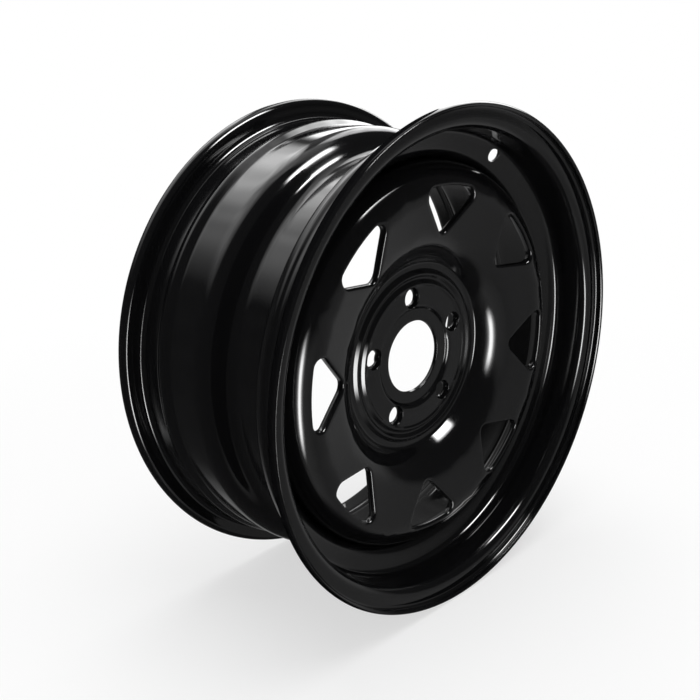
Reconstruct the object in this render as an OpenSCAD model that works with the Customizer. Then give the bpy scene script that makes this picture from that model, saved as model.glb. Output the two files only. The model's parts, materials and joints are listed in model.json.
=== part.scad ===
// Pressed steel road wheel: a roll-formed rim and a pressed disc, joined by weld beads.
// Frame: the axle is the Y axis, the outboard face looks towards -Y and Z is up.
// The origin lies on the axle, midway between the two flanges.

/* [Rim] */
// Bead seat diameter at the flange
seat_dia = 405.6; // [380:0.1:440]
// Width between the tyre faces of the two flanges
rim_w = 177.8; // [165:0.1:205]
// Thickness of the rim sheet
rim_t = 2.8; // [2:0.1:3.4]
// Height of the flange above the bead seat
flange_h = 17.3; // [15:0.1:20]
// Outer radius of the rolled flange lip
lip_r = 6.5; // [5.5:0.1:8]
// Angle through which the lip is rolled
lip_turn = 132; // [110:1:140]
// Straight end of the lip, past its bend
lip_tail = 0.5; // [0.2:0.1:1.5]
// Fillet between the flange and the bead seat
seat_fillet = 6; // [4:0.5:7]
// Width of the bead seat, from the flange to the foot of the hump
seat_w = 20; // [18:0.5:23]
// Taper of the bead seat
seat_taper = 5; // [3:0.5:6]
// Height of the round hump above the end of the bead seat
hump_h = 1.7; // [1:0.1:2.4]
// Width of the hump at its foot
hump_w = 9; // [8:0.5:11]
// Bend radius at the humps
hump_bend = 6; // [4:0.5:7]
// Drop of the ledge behind the outboard hump, below the end of the bead seat
ledge_drop = 0.6; // [0:0.1:1]

/* [Well] */
// Depth of the well below the bead seat
well_depth = 25; // [19:0.5:28]
// Distance from the wheel's centre plane to the outboard end of the well's floor
well_front = 45.7; // [43:0.1:47]
// Width of the well's floor
well_w = 46.5; // [44:0.1:48]
// Slope of the well's outboard wall, from the axle's direction
front_slope = 70; // [64:1:74]
// Bend radius at the foot and at the top of the outboard wall
well_bend = 10; // [6:0.5:11]
// Slope of the well's inboard wall, from the axle's direction
rear_slope = 57; // [52:1:60]
// Bend radius at the foot of the inboard wall
floor_bend = 15; // [10:0.5:16]
// Bend radius at the top of the inboard wall
leg_bend = 20; // [14:0.5:21]
// Depth of the inboard leg below the bead seat
leg_depth = 4.6; // [3:0.1:6]

/* [Valve hole] */
// Diameter of the valve hole
valve_dia = 12.5; // [8:0.1:14]
// Angle of the valve hole from +X, seen from outboard
valve_angle = 64.7; // [0:0.1:359]
// Share of the way down the well's outboard wall at which the valve hole sits
valve_drop = 0.37; // [0.34:0.01:0.6]

/* [Disc] */
// Thickness of the disc sheet
disc_t = 4.2; // [3.2:0.1:5]
// Distance from the wheel's centre plane out to the hub face
wheel_offset = 29; // [24:0.5:34]
// Diameter of the centre bore
bore_dia = 66.6; // [56:0.1:72]
// Width of the step from the bolt ring in to the hub ring
hub_step_w = 3.2; // [3:0.1:5]
// Rise of the bolt ring above the hub ring
bolt_ring_rise = 3.6; // [2.5:0.1:3.8]
// Width of the flat bolt ring
bolt_ring_w = 17.6; // [17:0.1:19]
// Distance from the bolt ring out to the crest of the ridge round it
ridge_w = 2.2; // [2:0.1:3]
// Rise of the ridge above the bolt ring
ridge_rise = 1.7; // [1:0.1:1.8]
// Distance from the ridge out to the bottom of the groove
groove_w = 4.6; // [4.2:0.1:6]
// Depth of the groove below the ridge
groove_depth = 3.6; // [2.4:0.1:3.7]
// Distance from the groove out to the crest of the raised bead
bead_w = 4.3; // [4.1:0.1:6]
// Rise of the bead above the groove
bead_rise = 3.4; // [2.4:0.1:3.5]
// Distance from the bead out to the bowl's floor
bead_fall_w = 4.2; // [4:0.1:6]
// Depth of the bowl's floor below the bead
bowl_drop = 3.2; // [2.4:0.1:3.4]
// Width of the bowl's floor
bowl_floor_w = 5.8; // [5:0.1:8]
// Bend radius of the ridge, the groove and the bead
rib_bend = 2; // [1.5:0.1:2.2]
// Bend radius of the step at the hub ring and of the bowl's floor
foot_bend = 5; // [4.4:0.1:5.5]
// Slope of the bowl's wall, from the wheel's plane
bowl_slope = 56; // [52:0.5:57]
// Width of the bowl's wall, from its foot to its top
bowl_w = 13.8; // [13.4:0.1:16]
// Bend radius at the top of the bowl
bowl_bend = 47; // [30:0.5:48]
// Slope of the disc's face, from the wheel's plane
face_slope = 14.2; // [10:0.1:16]
// Radius of the rounded outer edge of the disc
edge_r = 25; // [20:0.5:27]
// Axial length of the skirt that sits in the well
skirt_len = 62.5; // [58:0.5:66]
// Gap between the skirt and the well
fit_gap = 0.1; // [0.05:0.01:0.2]

/* [Bolt holes] */
// Bolt circle diameter
bolt_circle = 112; // [108:0.1:115]
// Number of bolt holes
bolt_count = 5; // [4:1:6]
// Diameter of a bolt hole
bolt_hole_dia = 14.6; // [12:0.1:16]
// Diameter of the tapered seat at its mouth
bolt_seat_dia = 18.4; // [17:0.1:18.6]
// Included angle of the tapered seat
bolt_seat_angle = 60; // [60:1:90]
// Angle of the first bolt hole from +X, seen from outboard
bolt_angle = 25; // [0:1:359]

/* [Windows] */
// Number of windows
window_count = 8; // [6:1:9]
// Angle of the first window from +X, seen from outboard
window_angle = 86.5; // [0:0.1:359]
// Distance from the skirt in to the windows' outer edge
window_margin = 19.4; // [16:0.1:24]
// Distance from the top of the bowl out to the windows' tips
window_step = 12.8; // [11:0.1:16]
// Angle between a window's side and its own radius
window_flare = 43.3; // [36:0.1:45]
// Corner radius of the windows
window_corner_r = 9; // [7:0.5:10]

/* [Welds] */
// Number of weld beads
weld_count = 8; // [4:1:12]
// Angle that each bead covers
weld_sweep = 24; // [12:1:28]
// Leg of the weld bead
weld_leg = 4; // [2.5:0.1:4.2]

/* [Hidden] */
steel_black = [0.05, 0.05, 0.055];
$fn = 96;
// Angle of one step of a sheet's bend, of a window's corner and of its outer edge, in degrees
bend_step = 7;
corner_step = 10;
rim_step = 2.5;

// Rim stations: radius of the tyre side, and place along the axle with outboard positive
seat_r = seat_dia / 2;
face_a = rim_w / 2;
flange_r = seat_r + flange_h;
lip_reach = lip_r * tan(lip_turn / 2);
lip_far = lip_reach + lip_tail;
seat_end_r = seat_r - seat_w * tan(seat_taper);
hump_foot_a = face_a - seat_w;
hump_a = hump_foot_a - hump_w / 2;
hump_r = seat_end_r + hump_h;
ledge_r = seat_end_r - ledge_drop;
well_r = seat_r - well_depth;
well_rear = well_front - well_w;
ledge_a = well_front + (ledge_r - well_r) / tan(front_slope);
leg_r = seat_r - leg_depth;
leg_front_a = well_rear - (leg_r - well_r) / tan(rear_slope);

// Disc stations: radius of the outboard side, and place along the axle
hub_a = wheel_offset + disc_t;
bolt_a = hub_a + bolt_ring_rise;
ridge_a = bolt_a + ridge_rise;
groove_a = ridge_a - groove_depth;
bead_a = groove_a + bead_rise;
bowl_floor_a = bead_a - bowl_drop;
bowl_a = bowl_floor_a + bowl_w * tan(bowl_slope);
bolt_ring_in_r = (bolt_circle - bolt_ring_w) / 2;
bolt_ring_out_r = (bolt_circle + bolt_ring_w) / 2;
hub_ring_r = bolt_ring_in_r - hub_step_w;
ridge_r = bolt_ring_out_r + ridge_w;
groove_r = ridge_r + groove_w;
bead_r = groove_r + bead_w;
bowl_floor_r = bead_r + bead_fall_w;
bowl_foot_r = bowl_floor_r + bowl_floor_w;
bowl_r = bowl_foot_r + bowl_w;
well_in_r = well_r - rim_t;
skirt_r = well_in_r - fit_gap;
edge_a = bowl_a + (skirt_r - bowl_r) * tan(face_slope);
skirt_end_a = edge_a - skirt_len;
window_in_r = bowl_r + window_step;
window_out_r = skirt_r - window_margin;
// Length of a drill, as a multiple of the sheet that it goes through
drill_share = 5;

function unit(p) = p / norm(p);
function left(p) = [-p[1], p[0]];
function heading(path, i) = unit(path[i + 1] - path[i]);
function turn(path, i) =
    let (d = heading(path, i - 1), e = heading(path, i))
    atan2(d[0] * e[1] - d[1] * e[0], d * e);
function turned(p, angle) =
    [p[0] * cos(angle) - p[1] * sin(angle), p[0] * sin(angle) + p[1] * cos(angle)];
// Points of one bend, t to the left of the path; an end of the path is a single point
function bend_points(path, bends, i, t) =
    i == 0 ? [path[0] + left(heading(path, 0)) * t] :
    i == len(path) - 1 ? [path[i] + left(heading(path, i - 1)) * t] :
    let (
        d = heading(path, i - 1),
        total = turn(path, i),
        side = sign(total),
        start = path[i] - d * bends[i] * tan(abs(total) / 2),
        centre = start + left(d) * side * bends[i],
        arm = left(d) * (t - side * bends[i]),
        steps = ceil(abs(total) / bend_step)
    )
    [for (k = [0 : steps]) centre + turned(arm, total * k / steps)];

// Points of an arc, both ends among them
function arc(centre, r, from, to, step) =
    let (steps = ceil((to - from) / step))
    [for (k = [0 : steps]) let (a = from + (to - from) * k / steps) centre + r * [cos(a), sin(a)]];

// One side of a bent sheet
function sheet_side(path, bends, t) =
    [for (i = [0 : len(path) - 1]) each bend_points(path, bends, i, t)];

function reversed(list) = [for (i = [len(list) - 1 : -1 : 0]) list[i]];

// Section of a sheet of thickness t that lies to the left of a path with rounded corners;
// its left side may follow a plainer path of its own
module sheet(path, bends, left_path, left_bends, t) {
    polygon(concat(sheet_side(path, bends, 0), reversed(sheet_side(left_path, left_bends, t))));
}

// Turns a section about the axle; the section's Y points outboard
module on_axle() {
    rotate([90, 0, 0]) children();
}

// Tyre side of the rim, from the inboard lip to the outboard lip
rim_path = [
    [flange_r - lip_r + lip_reach - lip_far * cos(180 - lip_turn), -face_a - lip_far * sin(180 - lip_turn)],
    [flange_r - lip_r + lip_reach, -face_a],
    [seat_r, -face_a],
    [seat_end_r, -hump_foot_a],
    [hump_r, -hump_a],
    [leg_r, -hump_a + hump_w],
    [leg_r, leg_front_a],
    [well_r, well_rear],
    [well_r, well_front],
    [ledge_r, ledge_a],
    [hump_r, hump_a],
    [seat_end_r, hump_foot_a],
    [seat_r, face_a],
    [flange_r - lip_r + lip_reach, face_a],
    [flange_r - lip_r + lip_reach - lip_far * cos(180 - lip_turn), face_a + lip_far * sin(180 - lip_turn)]
];
rim_bends = [
    0, lip_r, seat_fillet, hump_bend, hump_bend, hump_bend, leg_bend, floor_bend,
    well_bend, well_bend, hump_bend, hump_bend, seat_fillet, lip_r, 0
];

// Both sides of the disc, from the skirt's end to the bowl's foot
shell_path = [
    [skirt_r, skirt_end_a],
    [skirt_r, edge_a],
    [bowl_r, bowl_a],
    [bowl_foot_r, bowl_floor_a]
];
shell_bends = [0, edge_r, bowl_bend, foot_bend];
// The ribs are pressed into the outboard side only
rib_path = [
    [bowl_floor_r, bowl_floor_a],
    [bead_r, bead_a],
    [groove_r, groove_a],
    [ridge_r, ridge_a]
];
rib_bends = [rib_bend, rib_bend, rib_bend, rib_bend];
// Both sides of the disc, from the bolt ring to the bore
nave_path = [
    [bolt_ring_out_r, bolt_a],
    [bolt_ring_in_r, bolt_a],
    [hub_ring_r, hub_a],
    [bore_dia / 2, hub_a]
];
front_bends = concat(shell_bends, rib_bends, [rib_bend, foot_bend, rib_bend, 0]);
back_bends = concat(shell_bends, [foot_bend, foot_bend, rib_bend, 0]);

module valve_hole() {
    wall = [ledge_r - well_r, ledge_a - well_front];
    seat = [ledge_r, ledge_a] - wall * valve_drop;
    rotate([0, 0, valve_angle])
        translate([seat[0], 0, seat[1]])
            rotate([0, 90 + front_slope, 0])
                cylinder(d = valve_dia, h = drill_share * rim_t, center = true);
}

// Outline of one window, on +X: round corners that run into straight sides and an outer arc
module window_outline() {
    r = window_corner_r;
    h = window_flare;
    tip = window_in_r + r;
    far = window_out_r - r;
    s = sqrt(far * far - pow(tip * sin(h), 2)) - tip * cos(h);
    corner = [tip + s * cos(h), s * sin(h)];
    lean = atan2(corner[1], corner[0]);
    outer = arc([0, 0], window_out_r, -lean, lean, rim_step);
    polygon(concat(
        [for (i = [1 : len(outer) - 2]) outer[i]],
        arc(corner, r, lean, 90 + h, corner_step),
        arc([tip, 0], r, 90 + h, 270 - h, corner_step),
        arc([corner[0], -corner[1]], r, 270 - h, 360 - lean, corner_step)
    ));
}

module windows() {
    for (i = [0 : window_count - 1])
        rotate([0, 0, window_angle + i * 360 / window_count])
            linear_extrude(height = edge_a)
                window_outline();
}

module bolt_holes() {
    seat_half = tan(bolt_seat_angle / 2);
    seat_depth = (bolt_seat_dia - bolt_hole_dia) / 2 / seat_half;
    // The cone goes on past the mouth, clear of the bolt ring's face
    cone_h = seat_depth + disc_t;
    cone_dia = bolt_seat_dia + 2 * disc_t * seat_half;
    for (i = [0 : bolt_count - 1])
        rotate([0, 0, bolt_angle + i * 360 / bolt_count])
            translate([bolt_circle / 2, 0, bolt_a]) {
                cylinder(d = bolt_hole_dia, h = drill_share * disc_t, center = true);
                translate([0, 0, -seat_depth])
                    cylinder(d1 = bolt_hole_dia, d2 = cone_dia, h = cone_h);
            }
}

// Roll-formed hoop with two lips, bead seats, humps, the well and the inboard leg
module rim() {
    color(steel_black) on_axle() difference() {
        rotate_extrude() sheet(rim_path, rim_bends, rim_path, rim_bends, rim_t);
        valve_hole();
    }
}

// Pressing with a hub ring, bolt ring, bowl, windowed face and skirt
module disc() {
    color(steel_black) on_axle() difference() {
        rotate_extrude()
            sheet(concat(shell_path, rib_path, nave_path), front_bends,
                concat(shell_path, nave_path), back_bends, disc_t);
        windows();
        bolt_holes();
    }
}

// Beads along the skirt's inboard edge, one under each spoke
module welds() {
    color(steel_black) on_axle()
        for (i = [0 : weld_count - 1])
            rotate([0, 0, window_angle + 180 / window_count + i * 360 / weld_count - weld_sweep / 2])
                rotate_extrude(angle = weld_sweep)
                    translate([well_in_r, skirt_end_a])
                        intersection() {
                            circle(r = weld_leg);
                            translate([-weld_leg, -weld_leg]) square(weld_leg);
                        }
}

rim();
disc();
welds();
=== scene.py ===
# %% [markdown]
# # A pressed steel road wheel in gloss black enamel
# The wheel is two pieces of bent sheet: a rolled rim and a pressed disc, held by weld beads.
# Black gloss shows nothing but reflections, so a facet of a few degrees would be seen at once.
# Each sheet is therefore drawn again here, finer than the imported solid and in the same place,
# and the light and the dark cards round it are set as carefully as the wheel.

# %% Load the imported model
import json
import math

import bmesh
import bpy
import numpy as np
from mathutils import Matrix, Vector


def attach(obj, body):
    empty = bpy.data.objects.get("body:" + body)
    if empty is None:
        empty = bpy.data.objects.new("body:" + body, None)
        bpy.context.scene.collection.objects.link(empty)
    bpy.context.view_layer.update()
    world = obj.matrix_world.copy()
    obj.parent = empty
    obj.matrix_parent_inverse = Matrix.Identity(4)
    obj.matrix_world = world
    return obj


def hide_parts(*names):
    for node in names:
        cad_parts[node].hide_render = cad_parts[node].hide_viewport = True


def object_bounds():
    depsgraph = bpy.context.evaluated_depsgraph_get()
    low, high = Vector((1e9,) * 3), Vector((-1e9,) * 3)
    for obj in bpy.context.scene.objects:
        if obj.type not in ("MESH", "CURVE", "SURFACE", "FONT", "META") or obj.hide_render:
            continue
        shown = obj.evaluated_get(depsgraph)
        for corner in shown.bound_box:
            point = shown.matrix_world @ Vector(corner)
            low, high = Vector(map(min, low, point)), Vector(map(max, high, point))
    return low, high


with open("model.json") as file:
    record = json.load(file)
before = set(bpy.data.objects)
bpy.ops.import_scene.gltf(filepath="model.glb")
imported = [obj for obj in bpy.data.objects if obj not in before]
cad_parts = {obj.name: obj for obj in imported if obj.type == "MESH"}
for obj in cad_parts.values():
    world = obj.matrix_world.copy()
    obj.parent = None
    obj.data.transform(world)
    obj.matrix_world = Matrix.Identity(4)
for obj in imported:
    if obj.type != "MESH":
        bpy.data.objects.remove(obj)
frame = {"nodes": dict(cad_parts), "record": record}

cad_low, cad_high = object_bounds()
mounts = {mount["name"]: mount for mount in frame["record"]["mounts"]}
print("nodes:", sorted(frame["nodes"]), "mounts:", sorted(mounts))
print("box:", [round(v, 4) for v in cad_low], [round(v, 4) for v in cad_high])

# %% [markdown]
# ## Sizes
# The wheel's lengths are in millimetres, as on a drawing, and turn into metres once, in the mesh.
# A place on a section is a radius and a distance along the axle, with outboard positive.
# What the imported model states, such as the bore and the bolt circle, is read from it.
# The other sizes are named in the step that first needs them.

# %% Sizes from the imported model
MM = 0.001
flange_r = (cad_high.x - cad_low.x) / 2 / MM
bore_r = mounts["hub_bore"]["dims"]["r_mm"]
disc_t = mounts["hub_bore"]["dims"]["length_mm"]
hub_a = -mounts["hub_face"]["pos_m"][1] / MM + disc_t
bolts = mounts["bolt_holes"]["dims"]["count"]
bolt_r = mounts["bolt_holes"]["dims"]["pcd_mm"] / 2
bolt_hole_r = mounts["bolt_holes"]["dims"]["hole_r_mm"]
valve_hole_r = mounts["valve_hole"]["dims"]["r_mm"]
valve_x, valve_y, valve_z = (v / MM for v in mounts["valve_hole"]["pos_m"])
valve_angle = math.atan2(valve_z, valve_x)
print("flange radius %.1f, bore radius %.1f, %d bolts at radius %.1f, valve at %.1f degrees" % (
    flange_r, bore_r, bolts, bolt_r, math.degrees(valve_angle)))

# %% [markdown]
# ## A bent sheet
# A section of sheet metal is a chain of straight lines with a radius at each corner.
# Walking along it, each step notes a point on the outer side and the way through the sheet there.
# The inner side is then the same walk, moved through by the thickness, just as a press leaves it.

# %% Walk along a section
BEND_STEP = 6.0


def tan_d(degrees):
    return math.tan(math.radians(degrees))


def turned(vector, angle):
    c, s = math.cos(angle), math.sin(angle)
    return np.array([c * vector[0] - s * vector[1], s * vector[0] + c * vector[1]])


def walk(corners, bends, stride):
    """Points along a rounded chain of lines, and the unit step to the left at each point."""
    corners = [np.array(c, float) for c in corners]
    heads = [(b - a) / np.linalg.norm(b - a) for a, b in zip(corners, corners[1:])]
    left = [turned(h, math.pi / 2) for h in heads]
    points, through = [corners[0]], [left[0]]

    def straight_to(end, way):
        start = points[-1]
        steps = max(1, math.ceil(np.linalg.norm(end - start) / stride))
        for k in range(1, steps + 1):
            points.append(start + (end - start) * k / steps)
            through.append(way)

    for i in range(1, len(corners) - 1):
        d, e = heads[i - 1], heads[i]
        total = math.atan2(d[0] * e[1] - d[1] * e[0], d @ e)
        start = corners[i] - d * bends[i] * math.tan(abs(total) / 2)
        straight_to(start, left[i - 1])
        centre = start + left[i - 1] * math.copysign(bends[i], total)
        steps = max(2, math.ceil(math.degrees(abs(total)) / BEND_STEP))
        for k in range(1, steps + 1):
            points.append(centre + turned(start - centre, total * k / steps))
            through.append(turned(left[i - 1], total * k / steps))
    straight_to(corners[-1], left[-1])
    return np.array(points), np.array(through)


# %% [markdown]
# The rim's section runs from the inboard lip to the outboard one. On both sides a lip, a bead seat and
# a hump hold the tyre, and between them lies the well, so each of these is a corner or two of the chain.

# %% Section of the rim
RIM_W, RIM_T, FLANGE_H = 177.8, 2.8, 17.3
LIP_R, LIP_TURN, LIP_TAIL = 6.5, 132.0, 0.5
SEAT_FILLET, SEAT_W, SEAT_TAPER = 6.0, 20.0, 5.0
HUMP_H, HUMP_W, HUMP_BEND, LEDGE_DROP = 1.7, 9.0, 6.0, 0.6
WELL_DEPTH, WELL_FRONT, WELL_W, LEG_DEPTH = 25.0, 45.7, 46.5, 4.6
FRONT_SLOPE, WELL_BEND, REAR_SLOPE, FLOOR_BEND, LEG_BEND = 70.0, 10.0, 57.0, 15.0, 20.0
RIM_STRIDE = 5.0
lip_reach = LIP_R * tan_d(LIP_TURN / 2)
lip_far = lip_reach + LIP_TAIL
face_a = RIM_W / 2
lip_top = flange_r - LIP_R + lip_reach
lip_end = (lip_top + lip_far * math.cos(math.radians(LIP_TURN)),
           face_a + lip_far * math.sin(math.radians(LIP_TURN)))
seat_r = flange_r - FLANGE_H
seat_end_r = seat_r - SEAT_W * tan_d(SEAT_TAPER)
hump_foot_a = face_a - SEAT_W
hump_a = hump_foot_a - HUMP_W / 2
hump_r = seat_end_r + HUMP_H
ledge_r = seat_end_r - LEDGE_DROP
well_r = seat_r - WELL_DEPTH
well_rear = WELL_FRONT - WELL_W
ledge_a = WELL_FRONT + (ledge_r - well_r) / tan_d(FRONT_SLOPE)
leg_r = seat_r - LEG_DEPTH
leg_a = well_rear - (leg_r - well_r) / tan_d(REAR_SLOPE)
rim_corners = [
    (lip_end[0], -lip_end[1]), (lip_top, -face_a), (seat_r, -face_a), (seat_end_r, -hump_foot_a),
    (hump_r, -hump_a), (leg_r, HUMP_W - hump_a), (leg_r, leg_a),
    (well_r, well_rear), (well_r, WELL_FRONT), (ledge_r, ledge_a), (hump_r, hump_a),
    (seat_end_r, hump_foot_a), (seat_r, face_a), (lip_top, face_a), lip_end,
]
rim_bends = [0, LIP_R, SEAT_FILLET, HUMP_BEND, HUMP_BEND, HUMP_BEND, LEG_BEND, FLOOR_BEND,
             WELL_BEND, WELL_BEND, HUMP_BEND, HUMP_BEND, SEAT_FILLET, LIP_R, 0]
rim_outer, rim_through = walk(rim_corners, rim_bends, RIM_STRIDE)
rim_inner = rim_outer + rim_through * RIM_T
print("rim stations:", len(rim_outer), "bead seat radius %.1f" % seat_r)

# %% [markdown]
# The disc has two walks. Its outer side carries a ridge, a groove and a bead round the bolt ring;
# a press coins such fine ribs into one side only, so the back runs straight past them.

# %% Radii of the disc, and places along the axle
HUB_STEP_W, BOLT_RING_RISE, BOLT_RING_W = 3.2, 3.6, 17.6
RIDGE_W, RIDGE_RISE, GROOVE_W, GROOVE_DEPTH = 2.2, 1.7, 4.6, 3.6
BEAD_W, BEAD_RISE, BEAD_FALL_W, BOWL_DROP = 4.3, 3.4, 4.2, 3.2
BOWL_FLOOR_W, BOWL_W, BOWL_SLOPE = 5.8, 13.8, 56.0
FACE_SLOPE, SKIRT_LEN, FIT_GAP = 14.2, 62.5, 0.1
bolt_a = hub_a + BOLT_RING_RISE
ridge_a = bolt_a + RIDGE_RISE
groove_a = ridge_a - GROOVE_DEPTH
bead_a = groove_a + BEAD_RISE
floor_a = bead_a - BOWL_DROP
bowl_a = floor_a + BOWL_W * tan_d(BOWL_SLOPE)
ring_in_r, ring_out_r = bolt_r - BOLT_RING_W / 2, bolt_r + BOLT_RING_W / 2
ridge_r = ring_out_r + RIDGE_W
groove_r = ridge_r + GROOVE_W
bead_r = groove_r + BEAD_W
bowl_floor_r = bead_r + BEAD_FALL_W
bowl_foot_r = bowl_floor_r + BOWL_FLOOR_W
bowl_r = bowl_foot_r + BOWL_W
well_in_r = well_r - RIM_T
skirt_r = well_in_r - FIT_GAP
edge_a = bowl_a + (skirt_r - bowl_r) * tan_d(FACE_SLOPE)
skirt_end_a = edge_a - SKIRT_LEN
print("bowl's edge at radius %.1f, face from %.1f to %.1f mm along the axle" % (bowl_r, bowl_a, edge_a))

# %% Section of the disc
BOWL_BEND, EDGE_R, FOOT_BEND, RIB_BEND, DISC_STRIDE = 47.0, 25.0, 5.0, 2.0, 4.5
shell = [(skirt_r, skirt_end_a), (skirt_r, edge_a), (bowl_r, bowl_a), (bowl_foot_r, floor_a)]
ribs = [(bowl_floor_r, floor_a), (bead_r, bead_a), (groove_r, groove_a), (ridge_r, ridge_a)]
nave = [(ring_out_r, bolt_a), (ring_in_r, bolt_a), (ring_in_r - HUB_STEP_W, hub_a), (bore_r, hub_a)]
shell_bends = [0, EDGE_R, BOWL_BEND, FOOT_BEND]
rib_bends = [RIB_BEND] * len(ribs)
nave_bends = [FOOT_BEND, RIB_BEND, 0]
disc_outer, disc_through = walk(
    shell + ribs + nave, shell_bends + rib_bends + [RIB_BEND] + nave_bends, DISC_STRIDE)
plain, plain_through = walk(shell + nave, shell_bends + [FOOT_BEND] + nave_bends, DISC_STRIDE)


def along_axle(side_points, r):
    """Place along the axle of one side of the disc, at one radius or at several."""
    order = np.argsort(side_points[:, 0])
    return np.interp(r, side_points[order, 0], side_points[order, 1])


disc_inner = disc_outer + disc_through * disc_t
on_nave = disc_outer[:, 0] < bowl_foot_r - FOOT_BEND
disc_inner[on_nave, 0] = disc_outer[on_nave, 0]
disc_inner[on_nave, 1] = along_axle(plain + plain_through * disc_t, disc_outer[on_nave, 0])
print("disc stations:", len(disc_outer), "of which on the nave:", on_nave.sum())

# %% [markdown]
# ## Spinning the sheet
# The rim is rolled and the disc is pressed to a body of revolution, so the section is spun round the axle.
# Each sheet edge gets a small radius, since paint never covers a knife edge and a radius catches light.
# A hole can't be spun: where one comes, the grid is left open and a patch joins its border to the hole.
# The patch's rings lie on the same section, so the reflection runs on without a ripple.

# %% Round a cut edge
EDGE_STEPS = 4
QUARTER = [math.pi / 2 * k / EDGE_STEPS for k in range(EDGE_STEPS + 1)]


def sheet_edge(corner, far_corner, neighbour, radius):
    """Points round the cut edge of a sheet, from its outer side to its inner side."""
    thickness = np.linalg.norm(far_corner - corner)
    through = (far_corner - corner) / thickness
    outward = (corner - neighbour) / np.linalg.norm(corner - neighbour)
    near = [corner + outward * radius * (math.sin(q) - 1) + through * radius * (1 - math.cos(q))
            for q in QUARTER]
    far = [corner + outward * radius * (math.cos(q) - 1)
           + through * (thickness - radius + radius * math.sin(q)) for q in QUARTER]
    return near + far


# %% Turn points and faces into a smooth piece


def linked(name, data):
    """An object that shows a mesh, a light or a camera in the scene."""
    made = bpy.data.objects.new(name, data)
    bpy.context.scene.collection.objects.link(made)
    return made


def smooth_piece(name, points, faces):
    """A smooth mesh from points in millimetres, without loose points and with its faces turned out."""
    mesh = bpy.data.meshes.new(name)
    mesh.from_pydata([Vector(p) * MM for p in points], [], faces)
    work = bmesh.new()
    work.from_mesh(mesh)
    bmesh.ops.delete(work, geom=[v for v in work.verts if not v.link_faces], context="VERTS")
    bmesh.ops.recalc_face_normals(work, faces=work.faces)
    open_edges = sum(not e.is_manifold for e in work.edges)
    work.to_mesh(mesh)
    work.free()
    mesh.shade_smooth()
    print(name, "has", len(mesh.polygons), "faces and", open_edges, "open edges")
    return linked(name, mesh)


# %% A spun sheet with holes
# Where the rings of a patch lie, as shares of the way from its border to the hole
PATCH_RINGS = (0.35, 0.65, 0.9)


class SpunSheet:
    """The mesh of a bent sheet that is spun round the axle, and the holes that go through it."""

    def __init__(self, outer, inner, columns, first_angle, edge_radius):
        self.outer, self.inner = outer, inner
        self.columns, self.first = columns, first_angle
        count = len(outer)
        start_cap = sheet_edge(outer[0], inner[0], outer[1], edge_radius)
        end_cap = sheet_edge(outer[-1], inner[-1], outer[-2], edge_radius)
        loop = np.array(start_cap[::-1] + list(outer[1:-1]) + end_cap + list(inner[-2:0:-1]))
        cap = len(start_cap)
        self.rows = len(loop)
        self.row_out = {s: cap + s - 1 for s in range(1, count - 1)}
        self.row_in = {s: 2 * cap + 2 * (count - 2) - s for s in range(1, count - 1)}
        angles = first_angle + 2 * math.pi * np.arange(columns) / columns
        grid = np.empty((self.rows, columns, 3))
        grid[..., 0] = loop[:, :1] * np.cos(angles)
        grid[..., 1] = -loop[:, 1:]
        grid[..., 2] = loop[:, :1] * np.sin(angles)
        self.points = [tuple(p) for p in grid.reshape(-1, 3)]
        self.open_cells = set()
        self.patch_faces = []

    def vertex(self, row, column):
        """Number of a point of the grid, which closes on itself both ways."""
        return (row % self.rows) * self.columns + column % self.columns

    def drill(self, stations, columns, border_uv, ring_uv, place):
        """Opens the cells between two stations and two columns, and joins their border to a hole."""
        (s0, s1), (j0, j1) = stations, columns
        walk_round = [(s0, j) for j in range(j0, j1)] + [(s, j1) for s in range(s0, s1)]
        walk_round += [(s1, j) for j in range(j1, j0, -1)] + [(s, j0) for s in range(s1, s0, -1)]
        for s in range(s0, s1):
            for j in range(j0, j1):
                self.open_cells.add((self.row_out[s], j % self.columns))
                self.open_cells.add((self.row_in[s + 1], j % self.columns))
        uv_out, uv_in = (np.array([border_uv(side, s, j) for s, j in walk_round]) for side in (0, 1))
        edge = ring_uv(np.arctan2(uv_out[:, 1], uv_out[:, 0]))
        rings = [(uv_out + (edge[0][0] - uv_out) * f, 0.0, 0.0) for f in PATCH_RINGS] + edge
        rings += [(uv_in + (edge[-1][0] - uv_in) * f, 1.0, 0.0) for f in reversed(PATCH_RINGS)]
        ids = [[self.vertex(self.row_out[s], j) for s, j in walk_round]]
        for uv, depth, sink in rings:
            ids.append(list(range(len(self.points), len(self.points) + len(uv))))
            self.points += [place(u, v, depth, sink) for u, v in uv]
        ids.append([self.vertex(self.row_in[s], j) for s, j in walk_round])
        count = len(walk_round)
        for near, far in zip(ids, ids[1:]):
            for k in range(count):
                n = (k + 1) % count
                self.patch_faces.append((near[k], near[n], far[n], far[k]))

    def build(self, name):
        """The finished piece, with the patches first and then each cell that no hole has opened."""
        faces = list(self.patch_faces)
        for i in range(self.rows):
            for j in range(self.columns):
                if (i, j) not in self.open_cells:
                    faces.append((self.vertex(i, j), self.vertex(i, j + 1),
                                  self.vertex(i + 1, j + 1), self.vertex(i + 1, j)))
        return smooth_piece(name, self.points, faces)


# %% [markdown]
# ## The rim
# The hoop is rolled from strip: lips, bead seats, humps, the well that lets a tyre's bead drop in, and
# the inboard leg. A Screw modifier could spin it, but the valve's hole sits on the well's slope,
# square to the sheet, so the grid is written out and the hole's patch lies on the slope.

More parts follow.
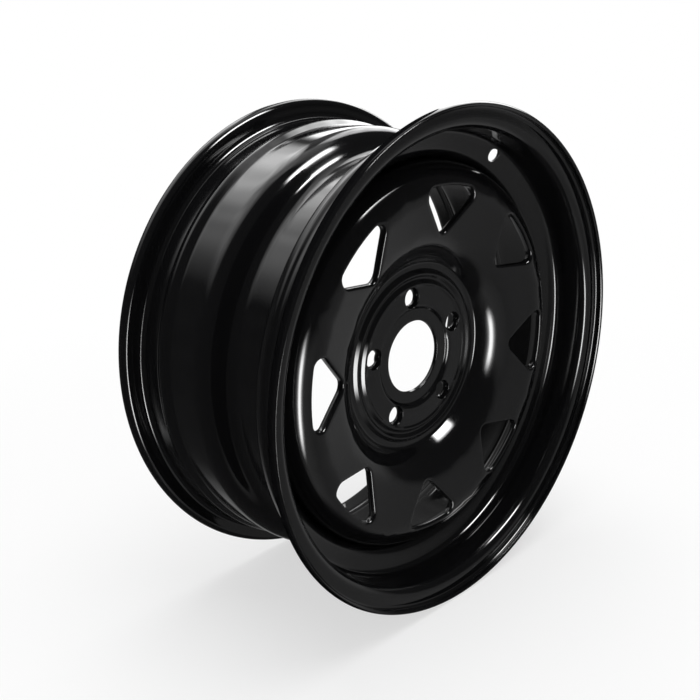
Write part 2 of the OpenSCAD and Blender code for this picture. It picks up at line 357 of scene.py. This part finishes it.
# %% Find the valve's place on the slope
RIM_COLUMNS, RIM_EDGE = 240, 0.4
VALVE_PATCH, VALVE_EDGE, FINE_STEPS = 10.5, 0.5, 20000
rim_sheet = SpunSheet(rim_outer, rim_inner, RIM_COLUMNS, valve_angle, RIM_EDGE)
rim_run = np.concatenate([[0], np.cumsum(np.linalg.norm(np.diff(rim_outer, axis=0), axis=1))])
valve_mid = np.array([math.hypot(valve_x, valve_z), -valve_y])
fine_run = np.linspace(0, rim_run[-1], FINE_STEPS)
fine_mid = np.stack([np.interp(fine_run, rim_run, (rim_outer + rim_inner)[:, i] / 2) for i in (0, 1)], -1)
valve_run = fine_run[np.argmin(np.linalg.norm(fine_mid - valve_mid, axis=1))]
patch_stations = [s for s in range(1, len(rim_run) - 1) if abs(rim_run[s] - valve_run) < VALVE_PATCH]
rim_column = 2 * math.pi / RIM_COLUMNS
patch_columns = math.ceil(VALVE_PATCH / valve_mid[0] / rim_column)
print("valve %.1f mm along the section, patch of %d stations" % (valve_run, len(patch_stations)))

# %% Build the rim


def rounded_edge(radius, thickness):
    """Steps down through a hole's wall: how far outside the hole's size, and how deep as a share."""
    steps = [(radius * (1 - math.sin(q)), radius * (1 - math.cos(q))) for q in QUARTER]
    steps += [(radius * (1 - math.cos(q)), thickness - radius * (1 - math.sin(q))) for q in QUARTER]
    return [(out, depth / thickness) for out, depth in steps]


def round_rings(ways, radius, steps):
    """Rings of a round hole, one for each step down its wall."""
    circle = np.stack([np.cos(ways), np.sin(ways)], -1)
    return [(circle * (radius + out), depth, 0.0) for out, depth in steps]


def valve_border(side, station, column):
    """Place of a border point in the patch: along the section and round the rim, alike on both sides."""
    return rim_run[station] - valve_run, column * rim_column * valve_mid[0]


def valve_rings(ways):
    return round_rings(ways, valve_hole_r, rounded_edge(VALVE_EDGE, RIM_T))


def on_slope(u, v, depth, sink):
    """A point of the sheet from its place in the patch. The valve's hole has no fold, so nothing sinks."""
    run = valve_run + u
    near, far = ([np.interp(run, rim_run, side[:, i]) for i in (0, 1)] for side in (rim_outer, rim_inner))
    r, a = np.array(near) * (1 - depth) + np.array(far) * depth
    angle = valve_angle + v / valve_mid[0]
    return r * math.cos(angle), -a, r * math.sin(angle)


rim_sheet.drill((patch_stations[0], patch_stations[-1]), (-patch_columns, patch_columns),
                valve_border, valve_rings, on_slope)
rim = rim_sheet.build("rim_hoop")

# %% [markdown]
# ## The disc and its windows
# One blow of the press gives the bowl, the ribs round the hub and the coned face; a second one punches
# the windows and the bolt holes along the axle. A Boolean would cut them too, but it leaves long thin
# faces that break up a gloss reflection, so each hole is a patch of rings as on the rim.

# %% Outline of a window
DISC_COLUMNS, DISC_EDGE, FACE_END = 288, 0.7, 4.0
WINDOWS, WINDOW_ANGLE, WINDOW_FLARE, WINDOW_CORNER = 8, 86.5, 43.3, 9.0
WINDOW_MARGIN, WINDOW_STEP, WINDOW_MIDDLE, WINDOW_PATCH = 19.4, 12.8, 0.42, 8.0
ARC_STEPS, SIDE_STEPS = 60, 200
disc_column = 2 * math.pi / DISC_COLUMNS
window_turn = 2 * math.pi / WINDOWS
spoke_angle = math.radians(WINDOW_ANGLE) - window_turn / 2
window_in_r = bowl_r + WINDOW_STEP
window_out_r = skirt_r - WINDOW_MARGIN
window_mid_r = window_out_r - (window_out_r - window_in_r) * WINDOW_MIDDLE


def window_outline(out):
    """Polar outline of a window about its middle, grown by out: three round corners and an outer arc."""
    r, h = WINDOW_CORNER + out, math.radians(WINDOW_FLARE)
    tip = window_in_r + WINDOW_CORNER
    far = window_out_r - WINDOW_CORNER
    s = math.sqrt(far ** 2 - (tip * math.sin(h)) ** 2) - tip * math.cos(h)
    corner = np.array([tip + s * math.cos(h), s * math.sin(h)])
    lean = math.atan2(corner[1], corner[0])
    arcs = [(np.zeros(2), window_out_r + out, 0, lean), (corner, r, lean, math.pi / 2 + h),
            (np.array([tip, 0]), r, math.pi / 2 + h, math.pi)]
    half = np.concatenate([c + q * np.stack([np.cos(t), np.sin(t)], -1)
                           for c, q, t0, t1 in arcs for t in [np.linspace(t0, t1, ARC_STEPS)]])
    whole = np.concatenate([half, half[::-1] * (1, -1)]) - (window_mid_r, 0)
    side = np.linspace(0, 1, SIDE_STEPS)[:, None]
    whole = np.concatenate([a + (b - a) * side for a, b in zip(whole, np.roll(whole, -1, 0))])
    angles = np.arctan2(whole[:, 1], whole[:, 0])
    order = np.argsort(angles)
    return angles[order], np.hypot(whole[:, 0], whole[:, 1])[order]


print("windows from radius %.1f to %.1f, the first at %.1f degrees" % (
    window_in_r, window_out_r, WINDOW_ANGLE))

# %% [markdown]
# The press also turns the edge of each window inward, so that no cut edge faces out.
# The fold is a list of steps: how far outside the window's size, on which side of the sheet,
# and how far it sinks towards the back.

# %% Punch the windows
FOLD_R, FOLD_DEPTH, FOLD_T, FOLD_EDGE, FOLD_IN = 2.6, 7.5, 3.4, 0.6, 1.5
# The inner corner where the fold meets the back of the sheet
FOLD_ROOT = ((0.0, 1.6), (0.5, 0.5), (1.6, 0.0))
disc_sheet = SpunSheet(disc_outer, disc_inner, DISC_COLUMNS, spoke_angle, DISC_EDGE)
on_face = disc_outer[:, 0] < skirt_r - FACE_END
face_out, face_in = disc_outer[on_face], disc_inner[on_face]
fold_steps = [(FOLD_R * (1 - math.sin(q)), 0.0, FOLD_R * (1 - math.cos(q))) for q in QUARTER]
fold_steps += [(0.0, 0.0, FOLD_DEPTH - FOLD_EDGE), (FOLD_EDGE, 0.0, FOLD_DEPTH),
               (FOLD_T - FOLD_EDGE, 0.0, FOLD_DEPTH), (FOLD_T, 0.0, FOLD_DEPTH - FOLD_EDGE)]
fold_steps += [(FOLD_T + out, 1.0, sink) for out, sink in FOLD_ROOT]
window_steps = [(window_outline(out - FOLD_IN), depth, sink) for out, depth, sink in fold_steps]


def window_rings(ways):
    rings = []
    for (angles, radii), depth, sink in window_steps:
        reach = np.interp(ways, angles, radii, period=2 * math.pi)
        rings.append((np.stack([np.cos(ways), np.sin(ways)], -1) * reach[:, None], depth, sink))
    return rings


def punched(centre_r, centre_angle):
    """Two functions: the border of a patch in the hole's own plane, and a point of the sheet there."""
    def border(side, station, column):
        r = (disc_outer, disc_inner)[side][station][0]
        angle = spoke_angle + column * disc_column - centre_angle
        return r * math.cos(angle) - centre_r, r * math.sin(angle)

    def place(u, v, depth, sink):
        r = math.hypot(centre_r + u, v)
        angle = centre_angle + math.atan2(v, centre_r + u)
        a = along_axle(face_out, r) * (1 - depth) + along_axle(face_in, r) * depth - sink
        return r * math.cos(angle), -a, r * math.sin(angle)

    return border, place


def stations_between(low, high):
    """First and last station of the disc between two radii."""
    found = [s for s in range(1, len(disc_outer) - 1) if low < disc_outer[s][0] < high]
    return found[0], found[-1]


window_stations = stations_between(window_in_r - WINDOW_PATCH, window_out_r + WINDOW_PATCH)
per_window = DISC_COLUMNS // WINDOWS
for k in range(WINDOWS):
    border, place = punched(window_mid_r, spoke_angle + (k + 0.5) * window_turn)
    disc_sheet.drill(window_stations, (k * per_window, (k + 1) * per_window), border, window_rings, place)
print("windows:", WINDOWS, "with", len(window_steps), "rings each")

# %% [markdown]
# ## The bolt holes
# A bolt's tapered head centres the wheel, so the mouth of each hole is pressed to a taper.
# That pushes a low collar out of the back of the sheet. A cone could be cut from the mesh, but the
# rings of a patch also give the small radius at the mouth, and the radius is what catches the light.

# %% Drill the bolt holes and finish the disc
BOLT_SEAT_R, BOLT_SEAT_HALF_ANGLE, BOLT_ANGLE = 9.2, 30.0, 25.0
BOLT_PATCH, BOLT_MARGIN, BOLT_EDGE, COLLAR_H = 14.0, 2.2, 0.5, 2.1
# Round the collar: how far outside the hole, and how far short of the collar's end
COLLAR = ((0.0, 0.4), (0.15, 0.1), (0.5, 0.0), (1.4, 0.0), (1.9, 0.4), (2.2, COLLAR_H))
seat_depth = (BOLT_SEAT_R - bolt_hole_r) / tan_d(BOLT_SEAT_HALF_ANGLE)
mouth = rounded_edge(BOLT_EDGE, disc_t)[:EDGE_STEPS + 1]
bolt_steps = [(BOLT_SEAT_R - bolt_hole_r + out, depth) for out, depth in mouth]
bolt_steps += [(0.0, seat_depth / disc_t), (0.0, 1.0)]
bolt_steps += [(out, (disc_t + COLLAR_H - short) / disc_t) for out, short in COLLAR]


def bolt_rings(ways):
    return round_rings(ways, bolt_hole_r, bolt_steps)


bolt_stations = stations_between(bolt_r - BOLT_SEAT_R - BOLT_MARGIN, bolt_r + BOLT_SEAT_R + BOLT_MARGIN)
half_patch = math.radians(BOLT_PATCH) / disc_column
for k in range(bolts):
    angle = math.radians(BOLT_ANGLE) + 2 * math.pi * k / bolts
    middle = (angle - spoke_angle) / disc_column
    border, place = punched(bolt_r, angle)
    disc_sheet.drill(bolt_stations, (math.floor(middle - half_patch), math.ceil(middle + half_patch)),
                     border, bolt_rings, place)
disc = disc_sheet.build("pressed_disc")

# %% [markdown]
# ## The weld beads
# At the back, the skirt's edge is welded to the well, one bead under each spoke.
# A bead laid by a torch is a row of small overlapping ripples that fades out at both ends.
# A swept curve would give an even rope, so each bead is a row of quarter rounds of changing size.

# %% Build the weld beads
WELDS, WELD_SWEEP, WELD_LEG, WELD_THIN = 8, 24.0, 4.0, 0.05
RIPPLE_W, RIPPLE_SHARE, END_FADE = 2.4, 0.1, 4.2
WELD_STEPS, WELD_SIDES = 90, 8
weld_points, weld_faces = [], []
for k in range(WELDS):
    base = len(weld_points)
    for i in range(WELD_STEPS + 1):
        share = i / WELD_STEPS
        angle = spoke_angle + k * 2 * math.pi / WELDS + math.radians(WELD_SWEEP) * (share - 0.5)
        run = share * math.radians(WELD_SWEEP) * well_in_r
        fade = min(1.0, END_FADE * share, END_FADE * (1 - share)) ** 0.5
        ripple = 1 - RIPPLE_SHARE * abs(math.sin(math.pi * run / RIPPLE_W))
        leg = max(WELD_THIN, WELD_LEG * fade * ripple)
        ring = [(well_in_r, skirt_end_a)]
        for side in range(WELD_SIDES + 1):
            q = math.pi / 2 * side / WELD_SIDES
            ring.append((well_in_r - leg * math.sin(q), skirt_end_a - leg * math.cos(q)))
        weld_points += [(r * math.cos(angle), -a, r * math.sin(angle)) for r, a in ring]
    count = WELD_SIDES + 2
    for i in range(WELD_STEPS):
        for side in range(count):
            n = (side + 1) % count
            a, b = base + i * count, base + (i + 1) * count
            weld_faces.append((a + side, a + n, b + n, b + side))
    weld_faces.append(tuple(range(base, base + count)))
    weld_faces.append(tuple(range(base + WELD_STEPS * count, base + (WELD_STEPS + 1) * count)))
beads = smooth_piece("weld_beads", weld_points, weld_faces)

# %% [markdown]
# ## Seating the pieces
# The imported model holds the same three pieces as plainer solids. Each drawn piece rides on the wheel's
# one body and takes the place of its solid.

# %% Seat the pieces on the imported model
for piece, node in ((rim, "rim"), (disc, "disc"), (beads, "welds")):
    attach(piece, "root")
    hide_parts(node)
    print(piece.name, "replaces", node)

# %% [markdown]
# ## Gloss black baked enamel
# The wheel is dipped and baked: a smooth black coat with the faint skin that painters call orange peel.
# Under it the rolled sheet itself isn't quite even, which makes long reflections swim a little.
# Both are drawn as a bump: at these sizes real geometry would need millions of faces.

# %% Small helpers for materials


def linear(hex_colour):
    """An sRGB hex colour as the linear values that a shader takes."""
    channels = [int(hex_colour[i:i + 2], 16) / 255 for i in (1, 3, 5)]
    return [c / 12.92 if c <= 0.04045 else ((c + 0.055) / 1.055) ** 2.4 for c in channels] + [1.0]


def add_node(tree, kind, inputs=None, **settings):
    """Adds a node, sets its settings and sets or links its inputs."""
    node = tree.nodes.new(kind)
    for name, value in settings.items():
        setattr(node, name, value)
    for name, value in (inputs or {}).items():
        if isinstance(value, bpy.types.NodeSocket):
            tree.links.new(value, node.inputs[name])
        else:
            node.inputs[name].default_value = value
    return node


def empty_material(name):
    """A material without nodes."""
    made = bpy.data.materials.new(name)
    made.use_nodes = True
    made.node_tree.nodes.clear()
    return made


# %% Make the enamel
# Baked enamel is a hard resin coat, not a metal: nearly black itself, with sharp reflections that are
# faint face on and strong at a low angle. Its IOR is the shader's own, which is close to that of paint.
PEEL_MM, PEEL_DEPTH_MM = 3.0, 0.006
WAVE_MM, WAVE_DEPTH_MM = 45.0, 0.05
GLOSSY, LESS_GLOSSY = 0.06, 0.1
enamel = empty_material("black_baked_enamel")
paint = enamel.node_tree
on_wheel = add_node(paint, "ShaderNodeTexCoord").outputs["Object"]
peel = add_node(paint, "ShaderNodeTexNoise", {
    "Vector": on_wheel, "Scale": 1 / (PEEL_MM * MM), "Detail": 1.0, "Roughness": 0.4})
wave = add_node(paint, "ShaderNodeTexNoise", {
    "Vector": on_wheel, "Scale": 1 / (WAVE_MM * MM), "Detail": 1.0})
swell = add_node(paint, "ShaderNodeBump", {
    "Height": wave.outputs["Fac"], "Strength": 1.0, "Distance": WAVE_DEPTH_MM * MM})
skin = add_node(paint, "ShaderNodeBump", {
    "Height": peel.outputs["Fac"], "Strength": 1.0, "Distance": PEEL_DEPTH_MM * MM,
    "Normal": swell.outputs["Normal"]})
# Where the coat ran thick it is glossier
gloss = add_node(paint, "ShaderNodeMapRange", {
    "Value": wave.outputs["Fac"], "From Min": 0.3, "From Max": 0.7,
    "To Min": GLOSSY, "To Max": LESS_GLOSSY})
shader = add_node(paint, "ShaderNodeBsdfPrincipled", {
    "Base Color": linear("#0d0d0e"), "Roughness": gloss.outputs["Result"],
    "Normal": skin.outputs["Normal"]})
add_node(paint, "ShaderNodeOutputMaterial", {"Surface": shader.outputs["BSDF"]})
for piece in (rim, disc, beads):
    piece.data.materials.clear()
    piece.data.materials.append(enamel)
print("enamel on", [piece.name for piece in (rim, disc, beads)])

# %% [markdown]
# ## The paper and the white behind it
# The wheel stands on white paper that runs on to a white background.
# Near the wheel the paper takes light and shadow; further out it turns to plain white,
# as an overlit studio paper does, so no horizon shows.

# %% Lay the paper
HALF_FLOOR, NEAR_SHARE = 30.0, 0.62
PAPER_NEAR, PAPER_FAR = 0.3, 1.1
floor_z = cad_low.z


def staged(name, points, faces, material):
    """A mesh that belongs to the studio and not to the wheel."""
    mesh = bpy.data.meshes.new(name)
    mesh.from_pydata(points, [], faces)
    mesh.materials.append(material)
    made = linked(name, mesh)
    return made


def seen_rays(tree):
    """One where a ray comes from the camera, a reflection or a clear surface, and nought elsewhere."""
    path = add_node(tree, "ShaderNodeLightPath")
    camera_or_gloss = add_node(tree, "ShaderNodeMath", {
        0: path.outputs["Is Camera Ray"], 1: path.outputs["Is Glossy Ray"]}, operation="MAXIMUM")
    return add_node(tree, "ShaderNodeMath", {
        0: camera_or_gloss.outputs[0], 1: path.outputs["Is Transmission Ray"]},
        operation="MAXIMUM").outputs[0]


# Matt paper spreads light evenly, so it is diffuse where it is lit and an even white further out
paper = empty_material("white_paper")
tree = paper.node_tree
spot = add_node(tree, "ShaderNodeTexCoord").outputs["Object"]
reach = add_node(tree, "ShaderNodeVectorMath", {0: spot}, operation="LENGTH")
fade = add_node(tree, "ShaderNodeMapRange", {
    "Value": reach.outputs["Value"], "From Min": PAPER_NEAR, "From Max": PAPER_FAR,
    "To Min": NEAR_SHARE, "To Max": 1.0}, interpolation_type="SMOOTHSTEP")
share = add_node(tree, "ShaderNodeMath", {
    0: fade.outputs["Result"], 1: seen_rays(tree)}, operation="MULTIPLY")
lit = add_node(tree, "ShaderNodeBsdfDiffuse", {"Color": linear("#f3f3f3")})
white = add_node(tree, "ShaderNodeEmission", {"Strength": 1.0})
mixed = add_node(tree, "ShaderNodeMixShader", {
    "Fac": share.outputs[0], 1: lit.outputs["BSDF"], 2: white.outputs["Emission"]})
add_node(tree, "ShaderNodeOutputMaterial", {"Surface": mixed.outputs["Shader"]})
corners = [(-1, -1), (1, -1), (1, 1), (-1, 1)]
floor = staged("studio_floor", [(x * HALF_FLOOR, y * HALF_FLOOR, floor_z) for x, y in corners],
               [(0, 1, 2, 3)], paper)
print("paper at a height of %.4f m, plain white from %.1f m on" % (floor_z, PAPER_FAR))

# %% [markdown]
# The room is white to the eye and gives the paper a dimmer, even light. One large soft box overhead
# gives the wheel its soft shadow; a box that size would wash out the gloss, so reflections don't see it.

# %% Hang the white behind it, and the soft box
WORLD_FILL = 0.55
BOX_WATTS, BOX_SIZE, BOX_AT = 40.0, 2.2, (0.1, -0.1, 2.2)
world = bpy.data.worlds.new("white_room")
bpy.context.scene.world = world
world.use_nodes = True
tree = world.node_tree
tree.nodes.clear()
fill = add_node(tree, "ShaderNodeBackground", {"Color": (1, 1, 1, 1), "Strength": WORLD_FILL})
back = add_node(tree, "ShaderNodeBackground", {"Color": (1, 1, 1, 1), "Strength": 1.0})
mixed = add_node(tree, "ShaderNodeMixShader", {
    "Fac": seen_rays(tree), 1: fill.outputs["Background"], 2: back.outputs["Background"]})
add_node(tree, "ShaderNodeOutputWorld", {"Surface": mixed.outputs["Shader"]})
box_data = bpy.data.lights.new("overhead_box", "AREA")
box_data.shape = "DISK"
box_data.size = BOX_SIZE
box_data.energy = BOX_WATTS
box = linked("overhead_box", box_data)
box.location = BOX_AT
box.visible_glossy = False
print("soft box of %.1f m at a height of %.1f m" % (BOX_SIZE, BOX_AT[2]))

# %% [markdown]
# ## What the wheel reflects
# Black gloss shows its surroundings and nothing else, so a studio hangs dark cloth round a black
# object and lets light in only where a highlight is wanted. A dome of cloth does that here.
# Each window of light in it is given by its azimuths, with a brightness at each, then by its lowest and
# highest elevation and by how many degrees its lower and upper edges take to fade.
# Azimuth 0 is in front of the disc, and 90 on its right.
# The two low ones stand for the pale table that the disc looks down on, in front and behind.
# The dome is seen by reflections only, so the paper stays white.

# %% Place the windows of light
windows_of_light = {
    "table": ([(-62, 0), (-48, 0.1), (-36, 0.25), (-18, 0.45), (4, 0.32), (14, 0.25), (55, 0.25),
               (62, 0.3), (70, 0.37), (84, 0.37), (96, 0.12), (110, 0)], (-58, 0), 16),
    "rear_table": ([(98, 0), (112, 0.3), (172, 0.3), (188, 0.1), (198, 0)], (-55, -4), 14),
    "strip_light": ([(-46, 0), (-40, 1.2), (-36, 6), (-33, 24), (-28, 24), (-24, 6), (-20, 1.2),
                     (-14, 0)], (-34, 3), 16),
    "right_panel": ([(98, 0), (103, 3.2), (109, 4.6), (126, 4.7), (130, 3), (133, 0)], (18, 66), 8),
    "low_panel": ([(125, 0), (130, 3.6), (143.5, 3.6), (146, 0.2), (147, 0)], (13, 29), 5),
    "back_panel": ([(126, 0), (132, 0.35), (147, 0.25), (148.5, 0.3), (151, 2.5), (157, 4.7), (165, 3.5),
                    (178, 3.3), (190, 1.6), (215, 1.7), (228, 1.3), (243, 0.8), (256, 0)], (30, 72), 30),
    "ceiling": ([(15, 0), (40, 0.7), (100, 1.0), (150, 1.3), (210, 1.3), (235, 0.6), (250, 0)],
                (66, 100), 8),
}
print("windows of light:", list(windows_of_light))

# %% Work out the brightness over the dome
DOME_R, DOME_STEP, DOME_SEAM = 6.0, 1.5, -102
CLOTH, CREASE_SHARE, CREASED_FROM = 0.045, 0.2, 90


def soft_step(x, edge, width):
    """From nought to one across an edge, or from one to nought where the width is negative."""
    t = np.clip((x - edge) / width + 0.5, 0, 1)
    return t * t * (3 - 2 * t)


azimuths = np.arange(DOME_SEAM, DOME_SEAM + 360.1, DOME_STEP)
elevations = np.arange(-90, 90.1, DOME_STEP)
az, el = np.meshgrid(azimuths, elevations)
dome_glow = np.full(az.shape, CLOTH)
for profile, (low, high), soft in windows_of_light.values():
    knots, values = zip(*profile)
    across = np.interp(az, knots, values, left=0, right=0)
    dome_glow = np.maximum(dome_glow, across * soft_step(el, low, soft) * soft_step(-el, -high, soft))
# Hung cloth isn't even: soft creases mottle the panels at the right and behind
creases = np.sin(0.55 * el + 1.7 * np.sin(0.21 * az)) * np.sin(0.37 * az + 0.1 * el)
dome_glow = np.where(az > CREASED_FROM, dome_glow * (1 + CREASE_SHARE * creases), dome_glow)
cos_el = np.cos(np.radians(el))
on_dome = DOME_R * np.stack([cos_el * np.sin(np.radians(az)), -cos_el * np.cos(np.radians(az)),
                             np.sin(np.radians(el))], -1)
print("dome of %.1f m radius, %.0f in a hundred of it lit" % (DOME_R, 100 * (dome_glow > 1).mean()))

# %% Hang the dome


def glowing(name, points, glow, see_through=False):
    """A card that only reflections see, with a brightness at each point of its grid."""
    high, wide = glow.shape
    quads = [(i * wide + k, i * wide + k + 1, (i + 1) * wide + k + 1, (i + 1) * wide + k)
             for i in range(high - 1) for k in range(wide - 1)]
    material = empty_material(name)
    tree = material.node_tree
    level = add_node(tree, "ShaderNodeAttribute", attribute_name="glow")
    light = add_node(tree, "ShaderNodeEmission", {"Strength": level.outputs["Fac"]}).outputs["Emission"]
    if see_through:
        clear = add_node(tree, "ShaderNodeBsdfTransparent").outputs["BSDF"]
        light = add_node(tree, "ShaderNodeAddShader", {0: light, 1: clear}).outputs["Shader"]
    add_node(tree, "ShaderNodeOutputMaterial", {"Surface": light})
    card = staged(name, [tuple(v) for v in points.reshape(-1, 3)], quads, material)
    card.data.attributes.new("glow", "FLOAT", "POINT").data.foreach_set("value", glow.ravel())
    card.visible_camera = False
    card.visible_diffuse = False
    card.visible_transmission = False
    card.visible_volume_scatter = False
    card.visible_shadow = False
    print(name, "with %d faces, brightest %.2f" % (len(quads), glow.max()))


glowing("dark_cloth_dome", on_dome, dome_glow)

# %% [markdown]
# A soft lamp, about a metre long, hangs nearer than the cloth, two metres off and over the front of the
# wheel. Being nearer, it sits at another angle for each part, and so it lights a patch in the bowl and a
# streak in the well at the same time. It fades towards its edges, as a lamp behind cloth does.

# %% Hang the bar lamp
BAR_AT, BAR_GLOW = (0.346, -0.867, 1.72), 40.0
HALF_LENGTH, HALF_WIDTH = (0.467, 0.17, 0.0), (-0.105, 0.29, 0.146)
u, v = np.meshgrid(np.linspace(-1, 1, 17), np.linspace(-1, 1, 41))
on_bar = np.array(BAR_AT) + v[..., None] * np.array(HALF_LENGTH) + u[..., None] * np.array(HALF_WIDTH)
bar_fade = soft_step(np.abs(v), 0.8, -0.4) * soft_step(np.abs(u), 0.55, -0.9)
glowing("bar_lamp", on_bar, BAR_GLOW * bar_fade, see_through=True)

# %% [markdown]
# Paper shades what the lamps would overdo, as it does in a studio. A black half ring behind the front
# lip keeps the strip out of the barrel. Two cards stand in the rear opening and dim what shows through
# the lower windows: one is dark below and grey above, and a plain grey one stands lower, at the right.
# Only reflections see them. The lit paper under the wheel is left out of the reflections, as the dome's
# low windows stand for it.

# %% Set up the shades
RING_FROM, RING_TO, RING_STEPS = math.radians(100), math.radians(265), 40
RING_IN, RING_OUT, RING_Y = 0.213, 0.31, -0.088
CARD_Y, CARD_GREY = 0.108, 0.25
turns = np.linspace(RING_FROM, RING_TO, RING_STEPS)
radii = np.array([[RING_IN], [RING_OUT]])
ring_y = np.full((2, RING_STEPS), RING_Y)
half_ring = np.stack([radii * np.cos(turns), ring_y, radii * np.sin(turns)], -1)
glowing("black_half_ring", half_ring, np.zeros(ring_y.shape))


def upright_card(name, across, heights, levels):
    """A card across the rear opening, with a brightness at each height."""
    x, z = np.meshgrid(across, heights)
    points = np.stack([x, np.full(x.shape, CARD_Y), z], -1)
    glowing(name, points, np.repeat(np.array(levels)[:, None], len(across), axis=1))


heights = np.linspace(0.0, 0.14, 9)
upright_card("grey_card", (-0.07, 0.13), heights, 0.02 + 0.8 * soft_step(heights, 0.1, 0.12))
upright_card("low_card", (0.04, 0.2), (-0.2, -0.02), (CARD_GREY, CARD_GREY))
floor.visible_glossy = False

# %% [markdown]
# ## Camera
# The photo was taken from a little above, at the front left of the wheel. The place, the way it
# looks and the lens were worked out from the outlines of the two flanges and of the bore.

# %% Camera and view
CAMERA_AT, CAMERA_WAY = (-0.5584, -0.5196, 0.2336), (0.6866, 0.6384, -0.3479)
camera_data = bpy.data.cameras.new("photo_camera")
camera = linked("photo_camera", camera_data)
turn = Vector(CAMERA_WAY).to_track_quat("-Z", "Y").to_matrix().to_4x4()
camera.matrix_world = Matrix.Translation(CAMERA_AT) @ turn
camera_data.sensor_width = 36.0
camera_data.lens = 43.907
camera_data.shift_x = -0.0532
camera_data.shift_y = 0.0700
bpy.context.scene.camera = camera
bpy.context.scene.view_settings.view_transform = "Standard"
print("camera %.2f m from the middle of the wheel" % Vector(CAMERA_AT).length)

# %% [markdown]
# ## The last step
# The view layer is brought up to date once the pieces, the studio and the camera are in place.

# %% Update the view layer
bpy.context.view_layer.update()
